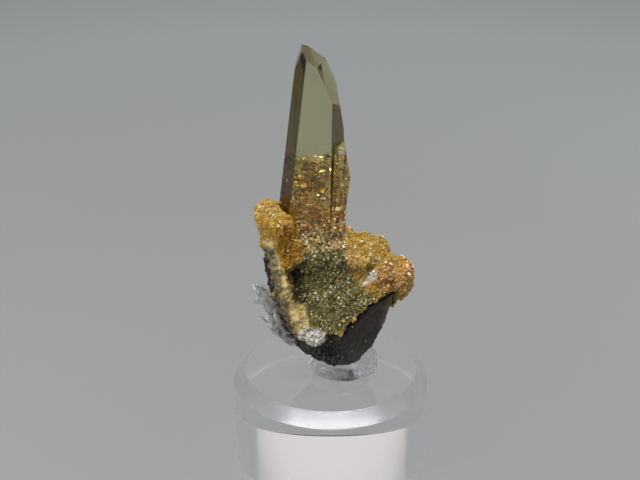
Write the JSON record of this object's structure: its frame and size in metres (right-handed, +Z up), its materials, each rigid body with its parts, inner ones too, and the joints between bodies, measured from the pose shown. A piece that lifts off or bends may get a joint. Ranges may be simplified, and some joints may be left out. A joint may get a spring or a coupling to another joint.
{
  "type": "mineral specimen on stand",
  "caption": "Tall olive-brown chisel-tipped crystal rising from a honey-coloured crust on a dark stone wedge, held in clear putty on a round bevelled acrylic disc",
  "frame": {"origin": "Centre of the stand's flat underside", "axes": "+Z up along the crystal, -Y the side the open hollow faces, +X right as seen from that side"},
  "size_m": [0.0254, 0.0254, 0.0549],
  "materials": {
    "clear_acrylic": "polished",
    "clear_putty": "satin",
    "dark_shale": "matte",
    "honey_calcite": "satin",
    "olive_barite": "polished",
    "white_needles": "satin",
    "white_tuft": "satin"
  },
  "bodies": {
    "root": {"acrylic_stand": "clear_acrylic", "clear_putty": "clear_putty", "shale_matrix": "dark_shale", "calcite_crust": "honey_calcite", "barite_crystals": "olive_barite", "needle_spray": "white_needles", "white_tuft": "white_tuft"}
  },
  "joints": []
}
